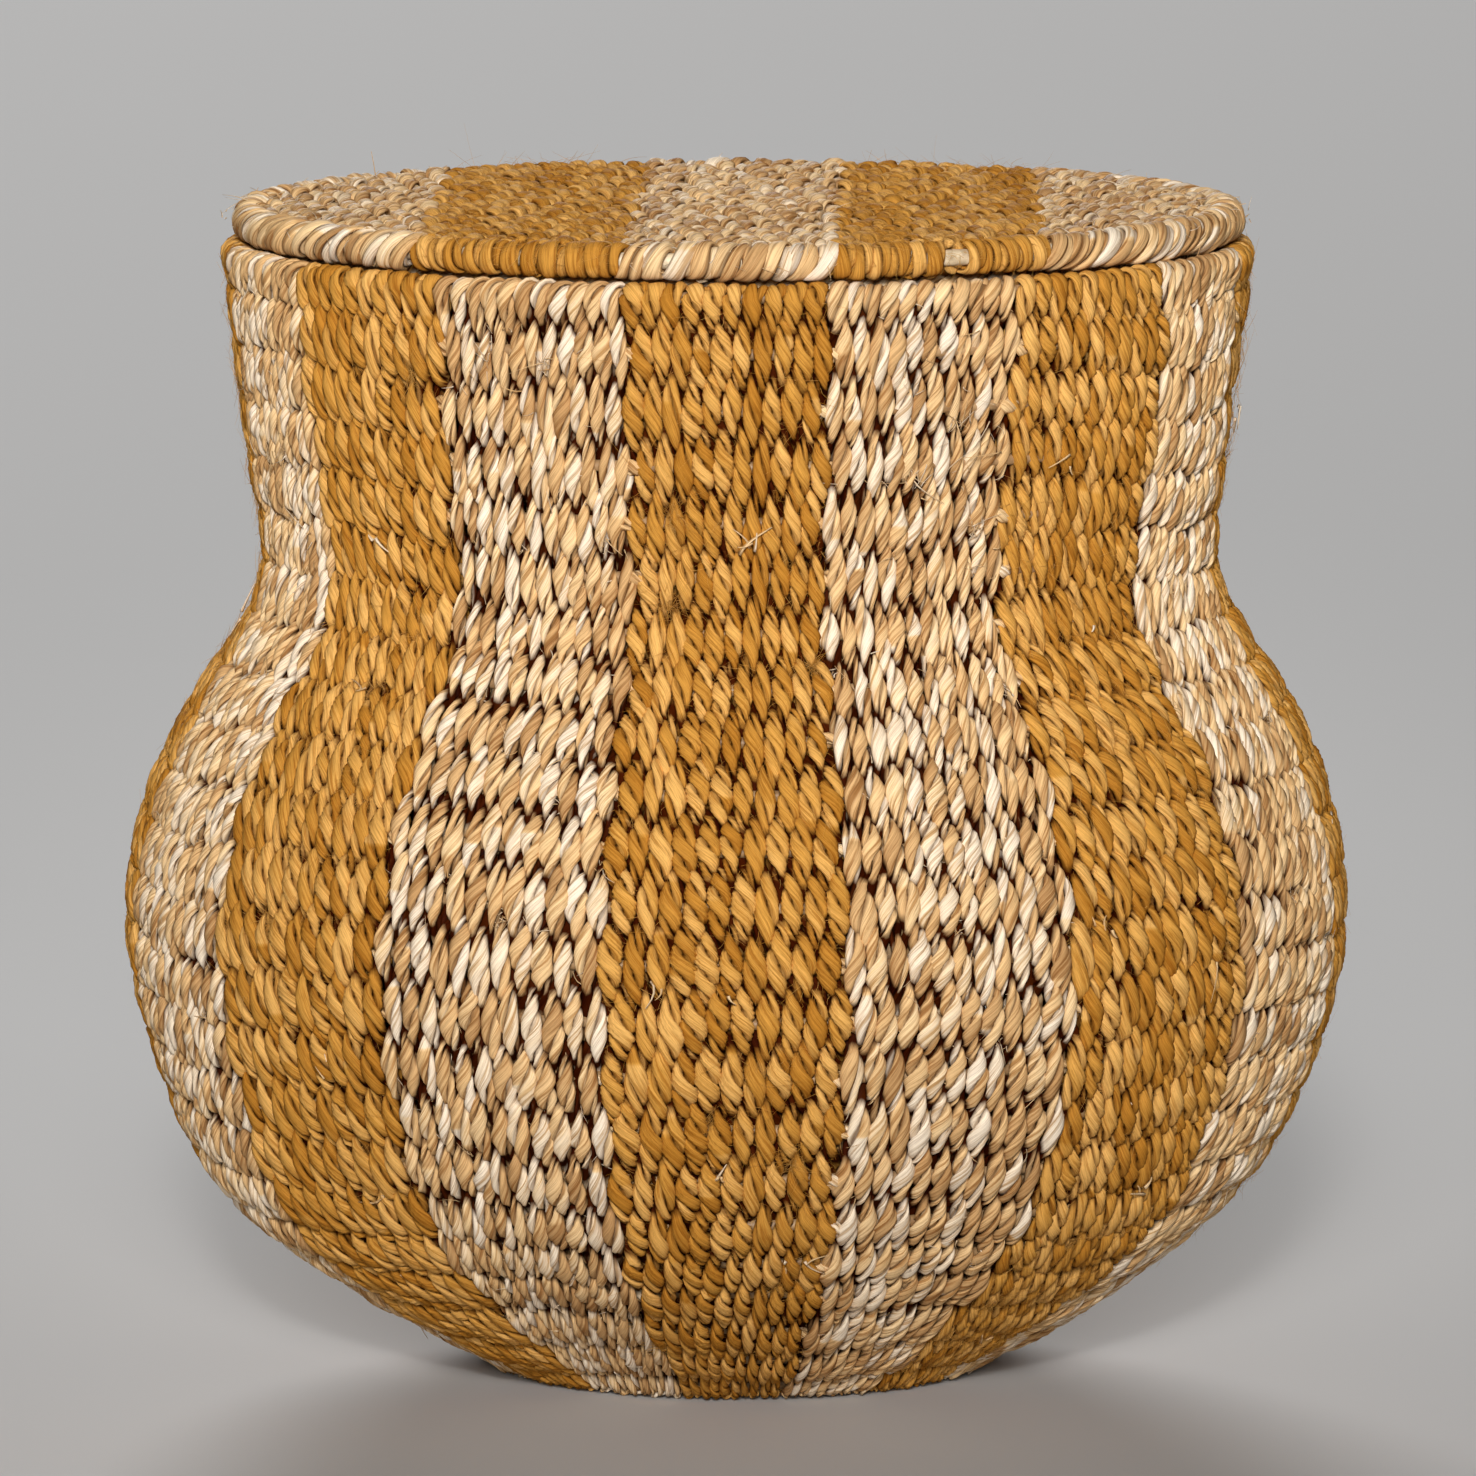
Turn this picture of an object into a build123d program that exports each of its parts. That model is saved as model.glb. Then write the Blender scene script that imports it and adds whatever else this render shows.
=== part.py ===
from build123d import *
import math
import os

# A round storage basket with a loose flat lid, woven from twisted seagrass cord.
# Its wall is a bulging pot shape with a narrow neck. The cords run up the wall and
# pass in front of one hoop and behind the next, so the hoops lie hidden inside the
# wall, gripped by the cords. Lid and base are flat discs: parallel cords woven over
# straight cross rods, turned round an edge hoop. Each stripe of cords is one solid.
# Millimetres, +Z up, origin under the middle of the base, an ochre stripe in front
# at -Y.

# ---- driving dimensions ----
WALL = 13.0               # thickness of the woven wall
ROD_RADIUS = 2.1          # rattan rods and hoops
CORE_RADIUS = 3.0         # thicker hoop inside the edges of the lid and the base
TUNNEL_GAP = 0.2          # room round the rods and the edge hoop of a disc
CONTACT_GAP = 0.3         # room between the lid and the basket

WALL_STRIPES = 16         # natural and ochre by turns, the first one in front
HOOP_COUNT = 23
WIDE_GAPS = 3             # the lowest hoops lie further apart
WIDE_PITCH = 29.0

# Line of the hoops' centres, from the base hoop to the rim hoop: radius, height.
WALL_LINE = [
    (92.0, 6.5),
    (123.5, 24.0),
    (164.5, 52.5),
    (192.5, 80.0),
    (212.8, 120.4),
    (223.8, 172.0),
    (212.1, 229.3),
    (198.5, 257.0),
    (181.1, 285.8),
    (174.7, 310.0),
    (177.4, 332.3),
    (183.6, 374.5),
    (188.5, 422.5),
]
WALL_SAMPLES = 60         # places along that line where the wall's two faces are set out

DISC_STRIPES = 5          # stripes across the lid, and across the base
DISC_ROD_PITCH = 21.0
DISC_EDGE = 14.0          # thickness of the lid and of the base, and of their rolled edges
LID_RADIUS = 190.0
BASE_SEAM = 0.3           # between the base's edge and the foot of the wall

LOCATING_RING_OUTER = 174.0
LOCATING_RING_WIDTH = 8.0
LOCATING_RING_DEPTH = 9.0
LOCATING_RING_ROUND = 2.5

STRIPE_ANGLE = 360.0 / WALL_STRIPES
STEP_FOLDER = "parts"


def save(name, solids):
    """Write the solids of one node to its STEP file."""
    shape = Compound(label=name, children=list(solids))
    export_step(shape, os.path.join(STEP_FOLDER, name + ".step"))


def wall_line():
    """The curve through the hoops' centres, in the XZ plane."""
    return Spline(*[(radius, 0, height) for radius, height in WALL_LINE])


def hoop_places(line):
    """Radius and height of each hoop, from the base hoop to the rim hoop."""
    wide_run = WIDE_GAPS * WIDE_PITCH
    pitch = (line.length - wide_run) / (HOOP_COUNT - 1 - WIDE_GAPS)
    places = []
    for number in range(HOOP_COUNT):
        wide = min(number, WIDE_GAPS)
        distance = wide * WIDE_PITCH + (number - wide) * pitch
        point = line @ (distance / line.length)
        places.append((point.X, point.Z))
    return places


def beside(line, along, distance):
    """Point at a distance from the line; positive is outwards, away from the axis."""
    point = line @ along
    tangent = line % along
    return point + Vector(tangent.Z, 0, -tangent.X) * distance


def wall_section(line):
    """Cut through the wall: an even strip with round ends."""
    half = WALL / 2
    steps = [number / WALL_SAMPLES for number in range(WALL_SAMPLES + 1)]
    outside = Spline(*[beside(line, along, half) for along in steps])
    inside = Spline(*[beside(line, along, -half) for along in steps])
    top = ThreePointArc(outside @ 1, line @ 1 + (line % 1) * half, inside @ 1)
    foot = ThreePointArc(inside @ 0, line @ 0 - (line % 0) * half, outside @ 0)
    return make_face([outside, top, inside, foot])


def wall_stripe(section, number):
    """One upright stripe of the wall; stripe 0 is centred on -Y."""
    start = -90 + (number - 0.5) * STRIPE_ANGLE
    stripe = revolve(section, axis=Axis.Z, revolution_arc=STRIPE_ANGLE)
    return Rot(0, 0, start) * stripe


def hoop(radius, height, rod_radius):
    """A closed ring of round rod."""
    return Pos(0, 0, height) * Torus(radius, rod_radius)


def rod_places(reach):
    """Distances from the middle of a disc at which its cross rods lie."""
    each_side = int(reach / DISC_ROD_PITCH)
    return [row * DISC_ROD_PITCH for row in range(-each_side, each_side + 1)]


def cross_rods(disc_radius, height):
    """The straight rods of a disc, all parallel to X and cut to its outline."""
    reach = disc_radius - DISC_EDGE - TUNNEL_GAP
    rods = []
    for place in rod_places(reach):
        length = 2 * math.sqrt(reach**2 - place**2)
        if length < 2 * DISC_EDGE:
            continue
        rod = Cylinder(ROD_RADIUS, length, rotation=(0, 90, 0))
        rods.append(Pos(0, place, height) * rod)
    return rods


def disc_stripes(disc_radius, height):
    """Parallel bands of woven cord that turn round the edge hoop at both ends."""
    edge_radius = disc_radius - DISC_EDGE / 2
    disc = Cylinder(edge_radius, DISC_EDGE) + Torus(edge_radius, DISC_EDGE / 2)
    disc -= Torus(edge_radius, CORE_RADIUS + TUNNEL_GAP)
    reach = disc_radius - DISC_EDGE
    for place in rod_places(reach - TUNNEL_GAP):
        length = 2 * math.sqrt(reach**2 - place**2)
        if length < 2 * DISC_EDGE:
            continue
        tunnel = Cylinder(ROD_RADIUS + TUNNEL_GAP, length, rotation=(0, 90, 0))
        disc -= Pos(0, place, 0) * tunnel
    width = 2 * disc_radius / DISC_STRIPES
    stripes = []
    for number in range(DISC_STRIPES):
        middle = (number + 0.5) * width - disc_radius
        band = Pos(middle, 0, 0) * Box(width, 2.2 * disc_radius, 2 * DISC_EDGE)
        stripes.append(Pos(0, 0, height) * (disc & band))
    return stripes


def locating_ring(top):
    """Ring sewn under the lid that keeps it from sliding off the rim."""
    middle = LOCATING_RING_OUTER - LOCATING_RING_WIDTH / 2
    outline = Rectangle(LOCATING_RING_WIDTH, LOCATING_RING_DEPTH)
    low_corners = outline.vertices().sort_by(Axis.Y)[:2]
    outline = fillet(low_corners, LOCATING_RING_ROUND)
    section = Plane.XZ * Pos(middle, top - LOCATING_RING_DEPTH / 2) * outline
    return revolve(section, axis=Axis.Z)


def save_disc(name, disc_radius, height):
    """Write the stripes, cross rods and edge hoop of the lid or of the base."""
    for number, stripe in enumerate(disc_stripes(disc_radius, height), start=1):
        save(f"{name}_stripe_{number}", stripe.solids())
    save(f"{name}_cross_rods", cross_rods(disc_radius, height))
    save(f"{name}_edge_hoop", [hoop(disc_radius - DISC_EDGE / 2, height, CORE_RADIUS)])


def main():
    os.makedirs("parts", exist_ok=True)
    line = wall_line()
    places = hoop_places(line)
    section = wall_section(line)
    for number in range(WALL_STRIPES):
        save(f"wall_stripe_{number + 1:02d}", [wall_stripe(section, number)])
    for number, (radius, height) in enumerate(places, start=1):
        save(f"hoop_{number:02d}", [hoop(radius, height, ROD_RADIUS)])

    base_radius = places[0][0] - WALL / 2 - BASE_SEAM
    save_disc("base", base_radius, DISC_EDGE / 2)

    rim_radius, rim_height = places[-1]
    reach = WALL / 2 + DISC_EDGE / 2 + CONTACT_GAP
    offset_out = rim_radius - (LID_RADIUS - DISC_EDGE / 2)
    lid_height = rim_height + math.sqrt(reach**2 - offset_out**2)
    save_disc("lid", LID_RADIUS, lid_height)
    save("lid_locating_ring", [locating_ring(lid_height - DISC_EDGE / 2)])


main()
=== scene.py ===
import math

import bpy
import numpy as np
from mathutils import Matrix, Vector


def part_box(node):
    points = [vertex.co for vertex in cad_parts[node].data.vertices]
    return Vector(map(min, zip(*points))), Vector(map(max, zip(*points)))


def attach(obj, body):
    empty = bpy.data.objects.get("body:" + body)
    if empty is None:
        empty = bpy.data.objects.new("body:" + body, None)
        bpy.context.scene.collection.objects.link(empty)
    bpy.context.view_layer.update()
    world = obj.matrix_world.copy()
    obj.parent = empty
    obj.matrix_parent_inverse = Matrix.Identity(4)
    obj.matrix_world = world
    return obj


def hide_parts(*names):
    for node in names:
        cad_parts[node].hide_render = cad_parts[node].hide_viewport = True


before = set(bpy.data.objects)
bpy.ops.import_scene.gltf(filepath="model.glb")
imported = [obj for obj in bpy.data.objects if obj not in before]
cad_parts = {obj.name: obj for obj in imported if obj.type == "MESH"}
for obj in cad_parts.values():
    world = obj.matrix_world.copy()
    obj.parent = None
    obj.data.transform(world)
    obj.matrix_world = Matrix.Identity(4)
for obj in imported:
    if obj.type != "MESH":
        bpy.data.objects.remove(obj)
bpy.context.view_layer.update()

# A seagrass storage basket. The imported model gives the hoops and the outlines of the
# stripes; this script weaves two-ply twisted cords over the hoops and rods, winds cord
# round the edges of the lid and the base, adds loose fibres and makes every material.
# Metres throughout. A cord's float is where it passes in front of a hoop or a rod, or
# behind it, and its crossing is halfway to the next one, where it goes from front to back.

MM = 0.001
TAU = 2 * math.pi

# ---- the weave ----
STRIPES = 16                                # upright stripes of the wall
CORDS = {"natural": 22, "ochre": 20}        # cords in one wall stripe
DISC_STRIPE = 76 * MM                       # width that holds as many cords in a disc
DISC_ROD_PITCH = 21 * MM                    # between the cross rods of a disc
RINGS_PER_ROW = 12                          # cross-sections of a ply between two hoops
RINGS_PER_TURN = 22                         # and in one turn round the edge of a disc
SIDES = 8                                   # corners of a ply's cross-section
WEAVE_HEIGHT = 3.5 * MM                     # how far a cord swings from the hoops' line
DISC_WEAVE_HEIGHT = 4.8 * MM                # the same in the lid and the base
DISC_CROSSING = 3.9 * MM                    # half-thickness of a disc's cord at a crossing
DISC_CORD_MARGIN = 4 * MM                   # no cord lies nearer the side of its edge hoop
BOUNDARY_GAP = 0.5 * MM                     # room at each side of a wall stripe
FIBRE_RADIUS = 2.2 * MM                     # of a ply, as its fibres' grain is drawn
FIBRE_LAY = 24 * MM                         # run in which the fibres turn one radian

# How uneven the wall is. Places, and how far they wander, are counted in hoops.
LUMPS = 3.2 * MM                            # slow bulges and hollows all over
SLUMP = 5.0 * MM                            # a fuller foot on one side
SLUMP_PLACE, SLUMP_SPREAD = 4.4, 2.6
SLUMP_SIDE = math.radians(185)
BELLY = 1.6 * MM                            # a fuller belly all round
BELLY_PLACE, BELLY_SPREAD = 9.5, 5.0
ROW_WAVER = 0.28                            # whole rows wander up and down
CORD_WAVER = 0.15                           # and so does each cord by itself
DISC_ROW_WAVER = 0.35
DISC_CORD_WAVER = 0.16

# Every draw is seeded, so that each run gives the same basket.
SEEDS = dict(lumps=50, waver=51, disc_waver=60, wall=100, lid=300, base=800, fibres=700,
             lid_fibres=800, locating_ring=900, knobs=950)

# The kinds of cord. Of a cord's section: wide is the half-width on a float, or fill where
# that is less; fill and cross are half-widths on a float and at a crossing, as shares of
# the cords' spacing; thick and deep are half-thicknesses on a float and at a crossing. Of
# its twist: lay is the run of a full turn, spread how that varies, twist its direction.
# Of its looks: rough is how uneven the cord is, crease how sharply its plies are creased,
# skew how rare its pale leaves are, disc_tint how much of that paleness a disc keeps.
KINDS = {
    "natural": dict(wide=3.95 * MM, fill=1.02, cross=0.50, thick=2.1 * MM, deep=3.9 * MM,
                    lay=28 * MM, spread=(0.7, 1.5), twist=-1, rough=1.0, crease=0.24,
                    skew=1.05, disc_tint=0.75),
    "ochre": dict(wide=4.9 * MM, fill=1.10, cross=0.60, thick=2.25 * MM, deep=4.3 * MM,
                  lay=24 * MM, spread=(0.7, 1.5), twist=1, rough=0.8, crease=0.06,
                  skew=1.0, disc_tint=1.0),
}


def kind_of(number):
    """Material of a stripe, counted from the front one of the wall."""
    return "ochre" if number % 2 == 0 else "natural"


# ---- places read from the frame ----
def ring_of(node):
    """Radius, height and rod radius of a hoop."""
    low, high = (np.array(corner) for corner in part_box(node))
    rod = (high[2] - low[2]) / 2
    return max(high[:2]) - rod, (high[2] + low[2]) / 2, rod


HOOPS = sorted(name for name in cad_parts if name.startswith("hoop_"))
HOOP_RINGS = np.array([ring_of(name) for name in HOOPS])
LAST = len(HOOPS) - 1


def smooth_through(values, place):
    """Smooth curve through evenly numbered values, read at fractional places."""
    ends = [2 * values[0] - values[1]], [2 * values[-1] - values[-2]]
    padded = np.concatenate([ends[0], values, ends[1]])
    whole = np.clip(np.floor(place).astype(int), 0, len(values) - 2)
    t = place - whole
    before, here, after, beyond = (padded[whole + step] for step in range(4))
    return 0.5 * (2 * here + (after - before) * t
                  + (2 * before - 5 * here + 4 * after - beyond) * t**2
                  + (3 * here - before - 3 * after + beyond) * t**3)


def wall_line(place):
    """Radius, height, and the upward tangent, at places counted in hoops."""
    step = 0.02
    radius, height = (smooth_through(HOOP_RINGS[:, k], place) for k in (0, 1))
    ahead = [smooth_through(HOOP_RINGS[:, k], place + step) for k in (0, 1)]
    behind = [smooth_through(HOOP_RINGS[:, k], place - step) for k in (0, 1)]
    tangent = np.stack([ahead[0] - behind[0], ahead[1] - behind[1]], -1)
    tangent /= np.linalg.norm(tangent, axis=-1, keepdims=True)
    return radius, height, tangent


def ease(t):
    """Goes from 0 to 1 with t, gently at both ends."""
    return t * t * (3 - 2 * t)


def wobble(rng, count, length, spacing):
    """Smooth random numbers from -1 to 1: count rows of length steps each.

    spacing is how many steps lie between one random number and the next.
    """
    knots = max(4, int(length / spacing) + 3)
    values = rng.uniform(-1, 1, (count, knots))
    place = np.linspace(0, knots - 1.001, length)
    whole = place.astype(int)
    t = ease(place - whole)
    return values[:, whole] * (1 - t) + values[:, whole + 1] * t


# ---- meshes ----
def tube_faces(tubes, rings, sides):
    """Quads round and along every tube, and a cap at both ends of each."""
    ring, side = np.meshgrid(np.arange(rings - 1), np.arange(sides), indexing="ij")
    beside = (side + 1) % sides
    quad = np.stack([ring * sides + side, ring * sides + beside,
                     (ring + 1) * sides + beside, (ring + 1) * sides + side], -1)
    starts = np.arange(tubes) * rings * sides
    quads = (quad.reshape(1, -1, 4) + starts[:, None, None]).reshape(-1, 4)
    caps = np.stack([np.arange(sides)[::-1], (rings - 1) * sides + np.arange(sides)])
    caps = (caps[None] + starts[:, None, None]).reshape(-1, sides)
    return quads, caps


def tube_object(name, points, fibre, tint, hollow_shade, groove_shade):
    """One mesh of many tubes, none below the floor. points: (tubes, rings, sides, 3)."""
    points[..., 2] = np.maximum(points[..., 2], 0)
    tubes, rings, sides, _ = points.shape
    quads, caps = tube_faces(tubes, rings, sides)
    corners = np.concatenate([quads.ravel(), caps.ravel()])
    starts = np.concatenate([np.arange(len(quads)) * 4,
                             len(quads) * 4 + np.arange(len(caps)) * sides])
    mesh = bpy.data.meshes.new(name)
    mesh.vertices.add(points.size // 3)
    mesh.vertices.foreach_set("co", points.astype(np.float32).ravel())
    mesh.loops.add(len(corners))
    mesh.loops.foreach_set("vertex_index", corners.astype(np.int32))
    mesh.polygons.add(len(starts))
    mesh.polygons.foreach_set("loop_start", starts.astype(np.int32))
    mesh.update(calc_edges=True)
    mesh.polygons.foreach_set("use_smooth", np.ones(len(starts), bool))
    vector = mesh.attributes.new("fibre", "FLOAT_VECTOR", "POINT")
    vector.data.foreach_set("vector", fibre.astype(np.float32).ravel())
    # The last two attributes say how deep a point lies in the weave and between the plies; the
    # material paints shade there.
    for label, values in (("tint", tint), ("hollow_shade", hollow_shade), ("groove_shade", groove_shade)):
        spread = np.broadcast_to(values, points.shape[:3])
        layer = mesh.attributes.new(label, "FLOAT", "POINT")
        layer.data.foreach_set("value", spread.astype(np.float32).ravel())
    piece = bpy.data.objects.new(name, mesh)
    bpy.context.scene.collection.objects.link(piece)
    return piece


# For a cord of two and of three plies, in shares of its half-width: how far the middle
# of a ply lies from the cord's, and the ply's half-size along that line and across it.
PLY_SHARES = {2: (0.50, 0.52, 0.84), 3: (0.55, 0.47, 0.60)}


def ply_sections(across, out, angle, rng, plies=2, crease=0.0):
    """Cross-sections of the plies of many cords, in each cord's own (B, N) plane.

    across and out are the half-width and half-thickness of the cord, and angle is how
    far its plies have turned, all (cords, rings). Returns (cords * plies, rings, sides)
    arrays of the two offsets, and of how deep each point lies between the plies, which
    sets the painted shade in the grooves there.
    """
    corner = np.arange(SIDES) * TAU / SIDES
    offset, half_along, half_across = PLY_SHARES[plies]
    every_b, every_n, every_groove_shade = [], [], []
    for ply in range(plies):
        turn = (angle + ply * TAU / plies)[..., None]
        swell = 1 + 0.09 * wobble(rng, *angle.shape, 5)[..., None]
        creases = np.stack([wobble(rng, *angle.shape, 7) for _ in corner], -1)
        size = swell * (1 + crease * creases)
        away = offset + half_along * size * np.cos(corner)
        aside = half_across * size * np.sin(corner)
        every_b.append(across[..., None] * (np.cos(turn) * away - np.sin(turn) * aside))
        every_n.append(out[..., None] * (np.sin(turn) * away + np.cos(turn) * aside))
        # How deep a point lies in the groove between plies, for the painted shade there.
        every_groove_shade.append(np.clip(1 - away / 0.40, 0, 1))
    return tuple(np.concatenate(every) for every in (every_b, every_n, every_groove_shade))


def fibre_frame(length, plies, rng, radius=FIBRE_RADIUS):
    """Coordinates in which the fibres of a ply run along Z: (tubes, rings, sides, 3)."""
    run = np.concatenate([length] * plies)
    run = run + rng.uniform(0, 1, (len(run), 1))
    turn = np.arange(SIDES) * TAU / SIDES + run[..., None] / FIBRE_LAY
    along = np.broadcast_to(run[..., None], turn.shape)
    return np.stack([radius * np.cos(turn), radius * np.sin(turn), along], -1)


def lengths(points):
    """Distance along each path: points is (paths, rings, 3)."""
    steps = np.linalg.norm(np.diff(points, axis=1), axis=2)
    return np.concatenate([np.zeros((len(points), 1)), np.cumsum(steps, 1)], 1)


def twist_angle(run, kind, rng):
    """How far the plies have turned along each cord, with some cords tighter laid."""
    lay = kind["lay"] * rng.uniform(*kind["spread"], (len(run), 1))
    loose = 0.9 * wobble(rng, *run.shape, 16)
    return rng.uniform(0, TAU, (len(run), 1)) + kind["twist"] * (TAU * run / lay + loose)


# ---- the wall ----
def pair_track():
    """The closed track of a pair of cords: up outside, over the rim, down, under.

    Returns place in hoops, the direction of the cord's outer face as (radial, upright)
    parts of the wall's normal and tangent, and how far it has gone over to the second
    cord of the pair.
    """
    up = np.linspace(0, LAST, LAST * RINGS_PER_ROW + 1)
    turn = np.linspace(0, math.pi, 8)[1:-1]
    none, all_over = np.zeros_like(up), np.ones_like(up)
    place = np.concatenate([up, np.full_like(turn, LAST), up[::-1], np.zeros_like(turn)])
    by_normal = np.concatenate([all_over, np.cos(turn), -all_over, -np.cos(turn)])
    by_tangent = np.concatenate([none, np.sin(turn), none, -np.sin(turn)])
    over = np.concatenate([none, turn / math.pi, all_over, 1 - turn / math.pi])
    return place, by_normal, by_tangent, over


def weave_wave(place, flat):
    """Height of a woven cord, from -1 to 1, and how near it is to the middle of a float.

    A smaller flat gives flatter floats.
    """
    wave = np.cos(math.pi * place)
    height = np.sign(wave) * np.abs(wave) ** flat
    return height, np.abs(wave)


def leaf_tints(rng, run, plies, skew):
    """A shade for each ply, from 0 to 1, that changes where one leaf gives way to the next."""
    run = np.concatenate([run] * plies)
    length = rng.uniform(45, 150, (len(run), 1)) * MM
    leaf = (run / length + rng.uniform(0, 1, (len(run), 1))).astype(int)
    shades = rng.uniform(0, 1, (len(run), leaf.max() + 1)) ** skew
    return np.take_along_axis(shades, leaf, 1)[..., None]


def unevenness(rng, angle, place):
    """Slow random waves, within -1 to 1, over an angle and a place in hoops."""
    total = 0
    for _ in range(7):
        round_about = rng.integers(2, 9)
        upright = rng.uniform(0.15, 0.75)
        start = rng.uniform(0, TAU)
        total = total + np.cos(round_about * angle + upright * place + start) / 7
    return total


def hump(place, middle, spread):
    """1 at its middle, and next to nothing well away from it."""
    return np.exp(-((place - middle) / spread) ** 2)


def wall_bulge(lumps, place, angle):
    """How far the wall stands out past the hoops' own line."""
    slump = hump(place, SLUMP_PLACE, SLUMP_SPREAD) * np.clip(np.cos(angle - SLUMP_SIDE), 0, 1)
    return LUMPS * lumps + SLUMP * slump + BELLY * hump(place, BELLY_PLACE, BELLY_SPREAD)


def wall_stripe(number):
    """The woven cords of one wall stripe."""
    rng = np.random.default_rng(SEEDS["wall"] + number)
    kind_name = kind_of(number)
    kind = KINDS[kind_name]
    cords = CORDS[kind_name]
    place, by_normal, by_tangent, over = pair_track()
    radius, height, tangent = wall_line(place)
    normal = np.stack([tangent[:, 1], -tangent[:, 0]], -1)
    face = normal * by_normal[:, None] + tangent * by_tangent[:, None]

    # Where each pair of cords runs, and how it strays.
    pairs = cords // 2
    span = TAU / STRIPES - 2 * BOUNDARY_GAP / radius
    first = -TAU / 4 + (number - 0.5) * TAU / STRIPES + BOUNDARY_GAP / radius
    step = span / cords
    index = 2 * np.arange(pairs)[:, None] + 0.5 + over[None]
    shape = (pairs, len(place))
    rough = kind["rough"]
    middle = first + step * index
    lumps = unevenness(np.random.default_rng(SEEDS["lumps"]), middle, place)
    waver = unevenness(np.random.default_rng(SEEDS["waver"]), middle, place)
    free = np.clip(np.minimum(place, LAST - place), 0, 1)
    own_waver = CORD_WAVER * rough * wobble(rng, *shape, 15)
    shifted = place + free * (ROW_WAVER * waver + own_waver)
    height_share, float_share = weave_wave(shifted, 0.8)
    middle = middle + 0.55 * MM * rough * wobble(rng, *shape, 11) / radius
    swing = WEAVE_HEIGHT * height_share * (1 + 0.08 * rough * wobble(rng, *shape, 10))
    swing = swing + 0.45 * MM * rough * wobble(rng, *shape, 13)
    outward = np.where(by_normal < 0, -1, 1)
    bulge = wall_bulge(lumps, place, middle) * free * outward

    # How wide and how thick each cord is.
    spacing = radius * step
    widest = np.minimum(kind["fill"] * spacing, kind["wide"])
    narrow = kind["cross"] * spacing
    across = narrow + (widest - narrow) * float_share
    across = across * (1 + 0.10 * rough * rng.uniform(-1, 1, (pairs, 1)))
    across = across * (1 + 0.15 * rough * wobble(rng, *shape, 8))
    out = kind["deep"] + (kind["thick"] - kind["deep"]) * float_share
    out = out * (1 + 0.08 * rough * wobble(rng, *shape, 8))

    # The plies that twist round that line.
    r_line = radius + (swing + bulge) * face[:, 0]
    z_line = height + (swing + bulge) * face[:, 1]
    path = np.stack([r_line * np.cos(middle), r_line * np.sin(middle), z_line], -1)
    run = lengths(path)
    b, n, groove_shade = ply_sections(across, out, twist_angle(run, kind, rng), rng,
                                crease=kind["crease"])
    level = np.concatenate([swing] * 2)[..., None] + n
    reach = level + np.concatenate([bulge] * 2)[..., None]
    r_all = radius[:, None] + face[:, 0, None] * reach
    z_all = height[:, None] + face[:, 1, None] * reach
    around = np.concatenate([middle] * 2)[..., None] + b / r_all
    points = np.stack([r_all * np.cos(around), r_all * np.sin(around), z_all], -1)
    fibre = fibre_frame(run, 2, rng)
    tint = leaf_tints(rng, run, 2, kind["skew"])
    # Painted shade: the deeper a point lies below the crests of the weave, the darker the
    # material paints it.
    crest = WEAVE_HEIGHT + kind["thick"]
    hollow_shade = np.clip(1 - np.abs(level) / crest, 0, 1)
    return tube_object(f"woven_wall_{number + 1:02d}", points, fibre, tint, hollow_shade, groove_shade)


def boundary_knobs():
    """Turns of pale cord round the hoops, which show between one stripe and the next.

    Each is a little to the side where the nearest cord is behind the hoop. A quarter of
    the places have none.
    """
    rng = np.random.default_rng(SEEDS["knobs"])
    hoop, side = np.meshgrid(np.arange(1, LAST), np.arange(STRIPES), indexing="ij")
    seen = rng.uniform(0, 1, hoop.shape) < 0.75
    hoop, side = hoop[seen], side[seen]
    radius, height, tangent = wall_line(hoop)
    normal = np.stack([tangent[:, 1], -tangent[:, 0]], -1)
    t = np.linspace(-1, 1, 7)[None]
    off_middle = 1.7 * MM
    bare_side = np.where(hoop % 2 == 0, -off_middle, off_middle)[:, None]
    edge = -TAU / 4 + (side[:, None] + 0.5) * TAU / STRIPES
    half_width = rng.uniform(2.8, 4.2, (len(hoop), 1)) * MM
    around = edge + (bare_side + half_width * t) / radius[:, None]
    rounded = np.sqrt(1 - 0.7 * t**2)
    across = rng.uniform(2.6, 3.4, (len(hoop), 1)) * MM * rounded
    angle = rng.uniform(0, TAU, (len(hoop), 1)) + 1.3 * t
    b, n, groove_shade = ply_sections(across, 2.7 * MM * rounded, angle, rng, crease=0.2)
    proud = 1.7 * MM
    n = n + proud
    upright, outward = np.concatenate([tangent] * 2), np.concatenate([normal] * 2)
    r_all = np.concatenate([radius] * 2)[:, None, None]
    r_all = r_all + n * outward[:, 0, None, None] + b * upright[:, 0, None, None]
    z_all = np.concatenate([height] * 2)[:, None, None]
    z_all = z_all + n * outward[:, 1, None, None] + b * upright[:, 1, None, None]
    around = np.concatenate([around] * 2)[..., None]
    points = np.stack([r_all * np.cos(around), r_all * np.sin(around), z_all], -1)
    fibre = fibre_frame(half_width * (t + 1), 2, rng)
    tint = rng.uniform(0.15, 0.75, (2 * len(hoop), 1, 1))
    # Painted shade: the knobs are painted darker towards the hoop they wrap.
    hollow_shade = np.clip(0.9 - n / (5 * MM), 0, 1)
    piece = tube_object("knobs_wall", points, fibre, tint, hollow_shade, groove_shade)
    finish_piece(piece, "natural", "basket")


# ---- lid and base ----
LID_EDGE_GAP = (85 * MM, 9.0 * MM)          # where the winding shows its core: X, width
LID_EDGE_GAP_STRIPE = 3                     # counted from 0 at -X

# The cord wound round an edge: room for one turn along the edge, half-thickness, how much
# of the usual twist is left, and how far its turns stray.
EDGES = {
    "natural": dict(apart=8.2 * MM, thick=2.2 * MM, twist=0.35, stray=1.7 * MM),
    "ochre": dict(apart=7.7 * MM, thick=2.0 * MM, twist=0.5, stray=0.4 * MM),
}


def disc_kind(number):
    """Material of a stripe of a disc, counted from the one at -X."""
    return "natural" if number % 2 == 0 else "ochre"


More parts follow.
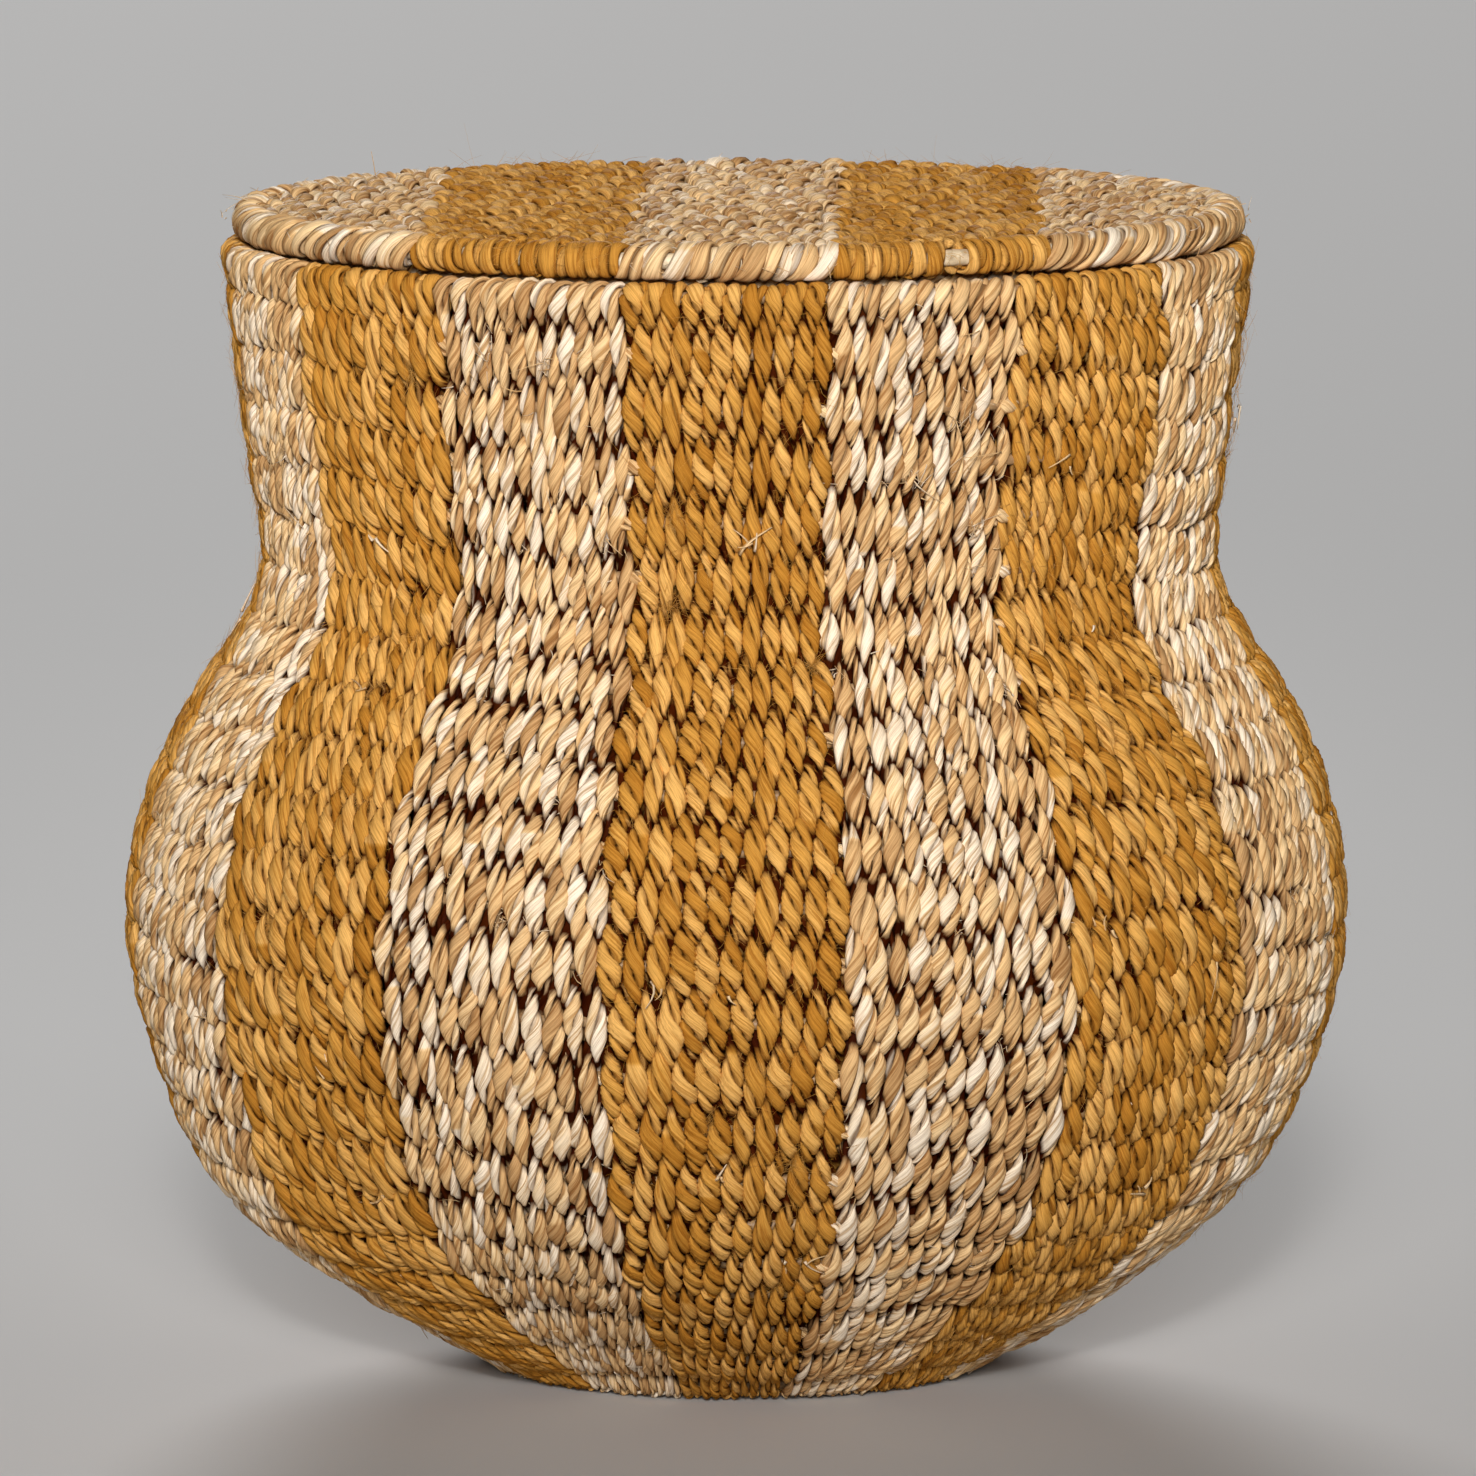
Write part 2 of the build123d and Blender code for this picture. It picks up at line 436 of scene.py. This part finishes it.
def disc_cords(name, kind_name, x_low, x_high, centre_z, ring_radius, seed):
    """Cords of one stripe of a disc, woven along Y over the cross rods."""
    rng = np.random.default_rng(seed)
    kind = KINDS[kind_name]
    per_width = CORDS[kind_name] / DISC_STRIPE
    count = 2 * round((x_high - x_low) * per_width / 2)
    spacing = (x_high - x_low) / count
    number = np.arange(count)
    x = x_low + (number + 0.5) * spacing
    keep = np.abs(x) < ring_radius - DISC_CORD_MARGIN
    x, number = x[keep], number[keep]
    reach = np.sqrt(ring_radius**2 - x**2)
    rings = int(2 * reach.max() / DISC_ROD_PITCH * RINGS_PER_ROW) + 2
    t = np.linspace(-1, 1, rings)[None]
    y = reach[:, None] * t
    row = y / DISC_ROD_PITCH
    side = np.where(number % 2 == 0, 1.0, -1.0)[:, None]
    shape = y.shape
    rough = kind["rough"]
    waver_rng = np.random.default_rng(SEEDS["disc_waver"])
    waver = unevenness(waver_rng, 1.5 * x[:, None] / ring_radius, row)
    own_waver = DISC_CORD_WAVER * rough * wobble(rng, *shape, 15)
    shifted = row + DISC_ROW_WAVER * waver * (1 - t**4) + own_waver
    height_share, float_share = weave_wave(shifted, 0.9)
    swing = side * DISC_WEAVE_HEIGHT * height_share
    swing = swing * (1 + 0.20 * wobble(rng, *shape, 10)) + 0.6 * MM * wobble(rng, *shape, 12)
    widest = min(spacing, kind["wide"])
    narrow = kind["cross"] * spacing
    across = narrow + (widest - narrow) * float_share
    across = across * (1 + 0.12 * rough * wobble(rng, *shape, 8))
    out = DISC_CROSSING + (kind["thick"] - DISC_CROSSING) * float_share
    middle = x[:, None] + 0.35 * MM * rough * wobble(rng, *shape, 9)
    path = np.stack([middle, y, centre_z + swing], -1)
    run = lengths(path)
    b, n, groove_shade = ply_sections(across, out, twist_angle(run, kind, rng), rng,
                                crease=kind["crease"])
    lift = np.concatenate([swing] * 2)[..., None] + n
    y_all = np.broadcast_to(np.concatenate([y] * 2)[..., None], b.shape)
    x_all = np.concatenate([middle] * 2)[..., None] + b
    points = np.stack([x_all, y_all, centre_z + lift], -1)
    fibre = fibre_frame(run, 2, rng)
    tint = kind["disc_tint"] * leaf_tints(rng, run, 2, kind["skew"])
    # Painted shade: the deeper a point lies below the crests of the weave, the darker the
    # material paints it.
    crest = 0.82 * (DISC_WEAVE_HEIGHT + kind["thick"])
    hollow_shade = np.clip(1 - np.abs(lift) / crest, 0, 1)
    return tube_object(name, points, fibre, tint, hollow_shade, groove_shade)


def edge_arcs(x_low, x_high, limit):
    """The stretches of the edge that bound a stripe, as angles from the front."""
    low = math.asin(max(-1, x_low / limit))
    high = math.asin(min(1, x_high / limit))
    if x_low <= -limit:
        return {"": (-math.pi - high, high)}
    if x_high >= limit:
        return {"": (low, math.pi - low)}
    return {"_front": (low, high), "_back": (math.pi - high, math.pi - low)}


def wound_angles(start, end, turns, gap):
    """Angles round the edge hoop and round the disc of a cord wound over one arc.

    Both ends of the cord are on the inner side, out of sight. gap is (angle, opening) of
    a place where the winding has opened up, or None.
    """
    beta = np.linspace(math.pi, math.pi + TAU * turns, turns * RINGS_PER_TURN + 1)[None]
    if not gap:
        return beta, start + (end - start) * (beta - math.pi) / (TAU * turns)
    angle, opening = gap
    psi = start + (end - start - opening) * (beta - math.pi) / (TAU * turns)
    turns_before = math.floor(turns * (angle - start) / (end - start))
    past = (beta - TAU * turns_before - 0.55 * math.pi) / (0.9 * math.pi)
    return beta, psi + opening * ease(np.clip(past, 0, 1))


def edge_wraps(name, kind_name, x_low, x_high, centre_z, ring_radius, core_radius, seed,
               gap=None):
    """Cord wound round the edge hoop over one stripe, in front and behind.

    The first and the last stripe go on without end in X. gap is (x, width) of a place in
    front where the winding has opened up.
    """
    rng = np.random.default_rng(seed)
    kind = KINDS[kind_name]
    edge = EDGES[kind_name]
    thick = edge["thick"]
    wind = core_radius + thick
    limit = ring_radius - 0.01 * MM
    pieces = []
    for tag, (start, end) in edge_arcs(x_low, x_high, limit).items():
        turns = max(2, round((end - start) * ring_radius / edge["apart"]))
        open_at, opening = None, 0
        if gap and tag == "_front":
            opening = gap[1] / ring_radius
            open_at = (math.asin(gap[0] / limit), opening)
        beta, psi = wound_angles(start, end, turns, open_at)
        apart = (end - start - opening) * ring_radius / turns
        lean = -kind["twist"] * (0.2 + 5.0 * np.abs(np.sin(psi)) ** 3) * MM
        jitter = edge["stray"] * wobble(rng, *beta.shape, 9)
        across = 0.5 * apart * (1.08 + 0.22 * wobble(rng, *beta.shape, 9))
        out = thick * (1 + 0.26 * wobble(rng, *beta.shape, 8))
        radial = np.stack([np.sin(psi), -np.cos(psi), np.zeros_like(psi)], -1)
        side = np.stack([np.cos(psi), np.sin(psi), np.zeros_like(psi)], -1)
        face = radial * np.cos(beta)[..., None]
        face[..., 2] = np.sin(beta)
        centre = ring_radius * radial + [0, 0, centre_z]
        shift = lean * np.sin(beta) + jitter
        path = centre + wind * face + shift[..., None] * side
        run = lengths(path)
        angle = edge["twist"] * twist_angle(run, kind, rng)
        b, n, groove_shade = ply_sections(across, out, angle, rng, crease=kind["crease"])
        points = (centre[:, :, None] + (wind + n)[..., None] * face[:, :, None]
                  + (shift[..., None] + b)[..., None] * side[:, :, None])
        fibre = fibre_frame(run, 2, rng)
        tint = leaf_tints(rng, run * 2.2, 2, kind["skew"])
        # Painted shade: points that lie deeper, nearer the edge hoop, are painted darker.
        hollow_shade = np.clip(1 - (wind + n) / (wind + thick), 0, 1)
        pieces.append(tube_object(name + tag, points, fibre, tint, hollow_shade, groove_shade))
    return pieces


def node_names(start):
    """The CAD nodes whose names start in one way, in order."""
    return sorted(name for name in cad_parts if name.startswith(start))


def woven_disc(which, body):
    """All the cords and edge wraps of the lid or of the base."""
    ring_radius, centre_z, core_radius = ring_of(which + "_edge_hoop")
    stripes = node_names(which + "_stripe_")
    for number, node in enumerate(stripes):
        low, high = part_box(node)
        kind_name = disc_kind(number)
        seed = SEEDS[which] + 20 * number
        x_low = -math.inf if number == 0 else low[0]
        x_high = math.inf if number == len(stripes) - 1 else high[0]
        cords = disc_cords(f"woven_{which}_{number + 1}", kind_name, low[0], high[0],
                           centre_z, ring_radius, seed)
        opened = which == "lid" and number == LID_EDGE_GAP_STRIPE
        wraps = edge_wraps(f"wrapped_{which}_edge_{number + 1}", kind_name, x_low, x_high,
                           centre_z, ring_radius, core_radius, seed + 1,
                           LID_EDGE_GAP if opened else None)
        for piece in [cords] + wraps:
            finish_piece(piece, kind_name, body, node)


def locating_ring():
    """A thick three-ply rope ring under the lid."""
    rng = np.random.default_rng(SEEDS["locating_ring"])
    low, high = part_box("lid_locating_ring")
    half_height = (high[2] - low[2]) / 2
    half_width = 4 * MM
    ring_radius = high[0] - half_width
    rings, full_twists = 560, 40
    psi = np.linspace(0, TAU, rings)[None]
    run = psi * ring_radius
    angle = full_twists * psi + 0.35 * wobble(rng, 1, rings, 9)
    across = half_width * (1 + 0.05 * wobble(rng, 1, rings, 9))
    out = np.full_like(across, half_height)
    b, n, groove_shade = ply_sections(across, out, angle, rng, plies=3)
    radius = ring_radius + b
    place = np.concatenate([psi] * 3)[..., None]
    points = np.stack([radius * np.cos(place), radius * np.sin(place),
                       (high[2] + low[2]) / 2 + n], -1)
    fibre = fibre_frame(run, 3, rng, 2.4 * MM)
    tint = rng.uniform(0.2, 0.8, (3, 1, 1))
    # Painted shade: points nearer the middle of the rope, between its plies, are painted darker.
    hollow_shade = np.clip(0.9 - np.hypot(b / half_width, n / half_height), 0, 1)
    piece = tube_object("rope_locating_ring", points, fibre, tint, hollow_shade, groove_shade)
    finish_piece(piece, "natural", "lid", "lid_locating_ring")


# ---- loose fibres ----
# How many there are on a wall stripe, how many tufts they form and what share of them is
# in tufts, their length and radius, how steeply they rise from the surface, and how far
# out their roots are, as a share of the way from the hoops to the crests of the cords.
FIBRES = {
    "natural": dict(count=400, tufts=16, bunched=0.45, length=(2 * MM, 8 * MM),
                    radius=(0.12 * MM, 0.34 * MM), rise=(0.1, 0.6), root=(0.6, 1.0)),
    "ochre": dict(count=2600, tufts=8, bunched=0.22, length=(2.5 * MM, 12 * MM),
                  radius=(0.05 * MM, 0.11 * MM), rise=(0.05, 0.5), root=(0.6, 1.0)),
    "fleck": dict(count=15, tufts=6, bunched=0.9, length=(4 * MM, 11 * MM),
                  radius=(0.45 * MM, 0.85 * MM), rise=(0.0, 0.12), root=(1.0, 1.4)),
}
WALL_CREST = WEAVE_HEIGHT + 1.4 * MM        # from the hoops
LID_CREST = 5.6 * MM                        # from the lid's middle, for its fibres' roots
TUFT_HEIGHT = 0.09                          # spread of a tuft, in hoops
TUFT_WIDTH = 0.02                           # and in stripes
LID_FIBRE_SHARE = 0.55                      # of the count on a wall stripe
LID_EDGE_SHARE = 0.35                       # of the lid's fibres, on its rolled edge


def unit(vectors, axis):
    """The same directions, with a length of 1."""
    return vectors / np.linalg.norm(vectors, axis=axis, keepdims=True)


def loose_fibres(name, roots, outward, along, rng, look):
    """Fine curved fibres that stand off the surface, thinner towards their tips."""
    count, rings, sides = len(roots), 5, 3
    aside = np.cross(along, outward)
    heading = rng.normal(0, 0.8, (count, 1)) + math.pi * rng.integers(0, 2, (count, 1))
    rise = rng.uniform(*look["rise"], (count, 1))
    direction = np.cos(heading) * along + np.sin(heading) * aside + rise * outward
    bend = rng.normal(0, 0.55, (count, 1)) * aside + rng.normal(0, 0.35, (count, 1)) * along
    bend = bend - rng.uniform(-0.1, 0.5, (count, 1)) * rise * outward
    shortest, longest = look["length"]
    length = shortest + (longest - shortest) * rng.uniform(0, 1, (count, 1)) ** 2.2
    t = np.linspace(0, 1, rings)[None, :, None]
    path = roots[:, None] + length[..., None] * (direction[:, None] * t + bend[:, None] * t**2)
    ahead = unit(direction[:, None] + 2 * bend[:, None] * t, 2)
    first = unit(np.cross(ahead, rng.normal(0, 1, (count, 1, 3))), 2)
    second = np.cross(ahead, first)
    turn = np.arange(sides) * TAU / sides
    radius = rng.uniform(*look["radius"], (count, 1, 1, 1)) * (1 - 0.7 * t[..., None])
    ring = (first[:, :, None] * np.cos(turn)[None, None, :, None]
            + second[:, :, None] * np.sin(turn)[None, None, :, None])
    points = path[:, :, None] + radius * ring
    run = (t[..., 0] * length)[..., None]
    fibre = np.stack([np.broadcast_to(np.cos(turn) * MM, points.shape[:3]),
                      np.broadcast_to(np.sin(turn) * MM, points.shape[:3]),
                      np.broadcast_to(run, points.shape[:3])], -1)
    tint = rng.uniform(0.35, 1, (count, 1, 1))
    none = np.zeros((1, 1, 1))
    return tube_object(name, points, fibre, tint, none, none)


def wall_fibres(number, look_name):
    """Loose fibres, or pale flecks, on the outside of one wall stripe."""
    rng = np.random.default_rng((SEEDS["fibres"], number, len(look_name)))
    look = FIBRES[look_name]
    count, tufts = look["count"], look["tufts"]
    bunched = rng.uniform(0, 1, count) < look["bunched"]
    tuft = rng.integers(0, tufts, count)
    in_tuft = rng.uniform(1, LAST - 1, tufts)[tuft] + rng.normal(0, TUFT_HEIGHT, count)
    place = np.where(bunched, in_tuft, rng.uniform(0.7, LAST, count))
    in_tuft = rng.uniform(-0.5, 0.5, tufts)[tuft] + rng.normal(0, TUFT_WIDTH, count)
    aside = np.where(bunched, in_tuft, rng.uniform(-0.5, 0.5, count))
    radius, height, tangent = wall_line(place)
    stand = WALL_CREST * rng.uniform(*look["root"], count)
    middle = -TAU / 4 + (number + aside) * TAU / STRIPES
    compass = np.stack([np.cos(middle), np.sin(middle)], -1)
    out_r, out_z = tangent[:, 1], -tangent[:, 0]
    reach = radius + stand * out_r
    roots = np.column_stack([compass * reach[:, None], height + stand * out_z])
    outward = np.column_stack([compass * out_r[:, None], out_z])
    along = np.column_stack([compass * tangent[:, :1], tangent[:, 1]])
    name = f"{look_name}_fibres_wall_{number + 1:02d}"
    piece = loose_fibres(name, roots, outward, along, rng, look)
    finish_piece(piece, "natural" if look_name == "fleck" else look_name, "basket")


def lid_fibres():
    """Loose fibres on the top and the rolled edge of the lid, stripe by stripe."""
    ring_radius, centre_z, _ = ring_of("lid_edge_hoop")
    inset = 2 * MM
    for number, node_name in enumerate(node_names("lid_stripe_")):
        rng = np.random.default_rng(SEEDS["lid_fibres"] + number)
        kind_name = disc_kind(number)
        look = FIBRES[kind_name]
        count = int(LID_FIBRE_SHARE * look["count"])
        low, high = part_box(node_name)
        x = rng.uniform(low[0] + inset, high[0] - inset, count)
        reach = np.sqrt(ring_radius**2 - np.clip(np.abs(x), 0, ring_radius - inset) ** 2)
        y = rng.uniform(-1, 1, count) * reach
        edge = rng.uniform(0, 1, count) < LID_EDGE_SHARE
        tilt = np.where(edge, rng.uniform(-0.5, 1.4, count), TAU / 4)
        y = np.where(edge, np.sign(y) * reach, y)
        away = unit(np.column_stack([x, y, np.zeros(count)]), 1)
        outward = away * np.cos(tilt)[:, None] + np.outer(np.sin(tilt), [0, 0, 1])
        roots = np.column_stack([x, y, np.full(count, centre_z)]) + LID_CREST * outward
        along = unit(np.cross(np.cross(outward, [1.0, 0.2, 0]), outward), 1)
        piece = loose_fibres(f"fibres_lid_{number + 1}", roots, outward, along, rng, look)
        finish_piece(piece, kind_name, "lid")


# ---- materials ----
WHITE = (1, 1, 1)


def node(tree, kind, **inputs):
    """A shader node with some of its input sockets set."""
    made = tree.nodes.new(kind)
    for socket, value in inputs.items():
        made.inputs[socket.replace("_", " ")].default_value = value
    return made


def ramp(tree, source, stops):
    """A colour ramp fed by a socket."""
    made = tree.nodes.new("ShaderNodeValToRGB")
    elements = made.color_ramp.elements
    while len(elements) < len(stops):
        elements.new(0.5)
    for element, (position, colour) in zip(elements, stops):
        element.position = position
        element.color = (*colour, 1)
    tree.links.new(source, made.inputs["Fac"])
    return made.outputs["Color"]


def feed(tree, socket, value):
    """Links another socket to an input socket, or sets it to a number or a colour."""
    if hasattr(value, "is_linked"):
        tree.links.new(value, socket)
    else:
        socket.default_value = (*value, 1) if isinstance(value, tuple) else value


def mix(tree, blend, factor, first, second):
    """Mixes two colours."""
    made = tree.nodes.new("ShaderNodeMix")
    made.data_type = "RGBA"
    made.blend_type = blend
    feed(tree, made.inputs[0], factor)
    feed(tree, made.inputs[6], first)
    feed(tree, made.inputs[7], second)
    return made.outputs[2]


def maths(tree, operation, *values):
    """Works out a number; operation is Blender's name for the sum."""
    made = tree.nodes.new("ShaderNodeMath")
    made.operation = operation
    for socket, value in zip(made.inputs, values):
        feed(tree, socket, value)
    return made.outputs[0]


def attribute(tree, name, output):
    """Reads an attribute that tube_object stored on the mesh."""
    made = tree.nodes.new("ShaderNodeAttribute")
    made.attribute_name = name
    return made.outputs[output]


def stretched_noise(tree, vector, scale, along, detail, distortion=0.0):
    """Noise in fibre coordinates, drawn out along the fibres."""
    mapping = node(tree, "ShaderNodeMapping", Scale=(scale, scale, along))
    tree.links.new(vector, mapping.inputs["Vector"])
    noise = node(tree, "ShaderNodeTexNoise", Scale=1.0, Detail=detail,
                 Roughness=0.6, Distortion=distortion)
    tree.links.new(mapping.outputs["Vector"], noise.inputs["Vector"])
    return noise.outputs["Fac"]


def bumped(tree, shader, height, strength, distance):
    """Gives a shader small relief."""
    bump = node(tree, "ShaderNodeBump", Strength=strength, Distance=distance)
    tree.links.new(height, bump.inputs["Height"])
    tree.links.new(bump.outputs["Normal"], shader.inputs["Normal"])


def new_material(name):
    """A new material, its node tree and its main shader."""
    material = bpy.data.materials.new(name)
    material.use_nodes = True
    tree = material.node_tree
    return material, tree, tree.nodes["Principled BSDF"]


def cord_material(name, palette, dark, light, deep, sunk, rough, relief, leaf, fine):
    """Twisted plant fibre: a colour for each leaf, streaks along it, painted shade in its
    hollows.

    palette runs from the brownest leaf to the palest. dark and light tint a leaf's
    streaks. deep is the colour of the painted shade in the hollows of the weave: it sets
    in at the first value of sunk, and is full at the second. deep also paints shade into
    the grooves between the plies. relief is the height of the grain. leaf and fine are the
    scales of the streaks and of the thin threads.
    """
    material, tree, shader = new_material(name)
    fibre = attribute(tree, "fibre", "Vector")
    tint = attribute(tree, "tint", "Fac")
    hollow_shade = attribute(tree, "hollow_shade", "Fac")
    groove_shade = attribute(tree, "groove_shade", "Fac")
    streaks = stretched_noise(tree, fibre, leaf, leaf * 0.05, 2, 0.3)
    patches = mix(tree, "MIX", 0.45, stretched_noise(tree, fibre, 120, 30, 3), streaks)
    shade = maths(tree, "MULTIPLY_ADD", patches, 0.9, tint)
    colour = ramp(tree, maths(tree, "SUBTRACT", shade, 0.45), palette)
    streak_tint = ramp(tree, streaks, [(0.36, dark), (0.5, WHITE), (0.68, light)])
    colour = mix(tree, "MULTIPLY", 1.0, colour, streak_tint)
    threads = stretched_noise(tree, fibre, fine, fine * 0.04, 4)
    thread_tint = ramp(tree, threads, [(0.34, (0.62, 0.56, 0.5)), (0.55, WHITE),
                                       (0.75, (1.12, 1.1, 1.06))])
    colour = mix(tree, "MULTIPLY", 0.75, colour, thread_tint)
    # Painted shade: the colour darkens towards deep in the hollows of the weave.
    under = ramp(tree, hollow_shade, [(sunk[0], WHITE), (sunk[1], deep)])
    colour = mix(tree, "MULTIPLY", 1.0, colour, under)
    # Painted shade in the grooves between the plies.
    between = ramp(tree, groove_shade, [(0.35, WHITE), (1.0, deep)])
    colour = mix(tree, "MULTIPLY", 0.7, colour, between)
    tree.links.new(colour, shader.inputs["Base Color"])
    rough_map = node(tree, "ShaderNodeMapRange", From_Min=0.3, From_Max=0.7,
                     To_Min=rough - 0.1, To_Max=rough + 0.12)
    tree.links.new(threads, rough_map.inputs["Value"])
    tree.links.new(rough_map.outputs["Result"], shader.inputs["Roughness"])
    bumped(tree, shader, mix(tree, "MIX", 0.5, streaks, threads), 0.75, relief)
    shader.inputs["Specular IOR Level"].default_value = 0.03
    return material


def rattan_material(name, dark, light):
    """Peeled rattan, with fine grain and soft blotches."""
    material, tree, shader = new_material(name)
    place = tree.nodes.new("ShaderNodeTexCoord").outputs["Object"]
    grain = node(tree, "ShaderNodeTexNoise", Scale=260.0, Detail=5.0, Roughness=0.6)
    tree.links.new(place, grain.inputs["Vector"])
    blotch = node(tree, "ShaderNodeTexNoise", Scale=34.0, Detail=3.0)
    tree.links.new(place, blotch.inputs["Vector"])
    colour = ramp(tree, blotch.outputs["Fac"], [(0.3, dark), (0.7, light)])
    fine = ramp(tree, grain.outputs["Fac"], [(0.35, (0.6, 0.55, 0.5)), (0.6, WHITE)])
    tree.links.new(mix(tree, "MULTIPLY", 0.8, colour, fine), shader.inputs["Base Color"])
    bumped(tree, shader, grain.outputs["Fac"], 0.5, 0.2 * MM)
    shader.inputs["Roughness"].default_value = 0.55
    return material


# In the cord materials, deep is the near-black colour of the painted shade in the weave's
# hollows and between the plies, and sunk gives the depths where that shade sets in and is full.
MATERIALS = {
    "natural": cord_material(
        "seagrass_natural",
        palette=[(0.02, (0.50, 0.28, 0.115)), (0.32, (0.75, 0.475, 0.22)),
                 (0.62, (0.86, 0.61, 0.33)), (0.80, (0.88, 0.71, 0.51)),
                 (1.0, (0.91, 0.77, 0.60))],
        dark=(0.62, 0.50, 0.38), light=(1.1, 1.1, 1.08), deep=(0.06, 0.014, 0.002),
        sunk=(0.38, 0.75), rough=0.60, relief=0.45 * MM, leaf=750, fine=2600),
    "ochre": cord_material(
        "seagrass_ochre",
        palette=[(0.05, (0.46, 0.195, 0.025)), (0.5, (0.61, 0.298, 0.055)),
                 (0.95, (0.77, 0.43, 0.125))],
        dark=(0.72, 0.62, 0.50), light=(1.1, 1.08, 1.05), deep=(0.085, 0.025, 0.003),
        sunk=(0.42, 0.80), rough=0.72, relief=0.35 * MM, leaf=1100, fine=4200),
    # The rattan for the hoops and rods is darker than that of the lid's edge hoop: partly the
    # rattan's own colour, partly painted shade for where they show through the gaps of the
    # weave.
    "rattan": rattan_material("rattan", (0.30, 0.16, 0.06), (0.50, 0.31, 0.15)),
    "core": rattan_material("rattan_core", (0.72, 0.55, 0.33), (0.90, 0.76, 0.54)),
}


def finish_piece(piece, kind_name, body, *nodes):
    """Gives a piece its material and its body, and hides the CAD nodes that it stands for."""
    piece.data.materials.append(MATERIALS[kind_name])
    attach(piece, body)
    if nodes:
        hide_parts(*nodes)


# ---- making the basket ----
for stripe in range(STRIPES):
    finish_piece(wall_stripe(stripe), kind_of(stripe), "basket", f"wall_stripe_{stripe + 1:02d}")
woven_disc("lid", "lid")
woven_disc("base", "basket")
locating_ring()
boundary_knobs()
for stripe in range(STRIPES):
    wall_fibres(stripe, kind_of(stripe))
    if kind_of(stripe) == "ochre":
        wall_fibres(stripe, "fleck")
lid_fibres()

# Every hoop and rod but the lid's edge hoop gets the darker rattan, which is partly painted
# shade in the gaps of the weave.
for name, cad_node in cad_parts.items():
    if "hoop" in name or "rods" in name:
        for slot in cad_node.material_slots:
            slot.link = "OBJECT"
            slot.material = MATERIALS["core" if name == "lid_edge_hoop" else "rattan"]


# ---- floor, light and camera ----
def stage_floor():
    """A plain pale floor that runs far behind the basket."""
    bpy.ops.mesh.primitive_plane_add(size=60)
    floor = bpy.context.object
    floor.name = "floor"
    material, _, shader = new_material("floor")
    shader.inputs["Base Color"].default_value = (0.64, 0.63, 0.62, 1)
    shader.inputs["Roughness"].default_value = 0.8
    floor.data.materials.append(material)


def camera():
    """A long lens, above the basket's rim and a little to the right of its front."""
    data = bpy.data.cameras.new("camera")
    data.sensor_width = 36
    data.lens = 341.5
    data.clip_end = 50
    eye = bpy.data.objects.new("camera", data)
    azimuth, down = math.radians(1.2), math.radians(7.133)
    distance, height = 5.25, 0.895
    eye.location = (distance * math.sin(azimuth), -distance * math.cos(azimuth), height)
    eye.rotation_euler = (math.pi / 2 - down, 0, azimuth)
    bpy.context.scene.collection.objects.link(eye)
    bpy.context.scene.camera = eye


def lamp(name, kind, direction, power):
    """A lamp that shines along a direction."""
    x, y, z = direction
    data = bpy.data.lights.new(name, kind)
    data.energy = power
    light = bpy.data.objects.new(name, data)
    light.rotation_euler = (math.atan2(math.hypot(x, y), -z), 0, math.atan2(-x, y))
    bpy.context.scene.collection.objects.link(light)
    return light


def sun(name, direction, spread, power):
    """Even light from afar; a wide spread gives soft shadows."""
    light = lamp(name, "SUN", direction, power)
    light.data.angle = math.radians(spread)


def softbox(name, place, aim, cone, radius, power):
    """A round lamp whose light fades towards the edge of its cone."""
    light = lamp(name, "SPOT", np.array(aim) - np.array(place), power)
    light.location = place
    light.data.spot_size = math.radians(cone)
    light.data.spot_blend = 1.0
    light.data.shadow_soft_size = radius


def surroundings(colour, strength):
    """Faint light from all round."""
    world = bpy.data.worlds.new("studio")
    world.use_nodes = True
    background = world.node_tree.nodes["Background"]
    background.inputs["Color"].default_value = (*colour, 1)
    background.inputs["Strength"].default_value = strength
    bpy.context.scene.world = world


stage_floor()
sun("key", (0.0, 1.0, -0.32), 18, 1.9)
softbox("softbox", (0.0, -3.5, 1.5), (0.0, 0.0, 0.34), 8.6, 0.35, 1180)
sun("back", (0.1, -1.0, -0.32), 20, 1.5)
surroundings((1.0, 0.98, 0.96), 0.09)
bpy.context.scene.view_settings.view_transform = "Standard"
camera()
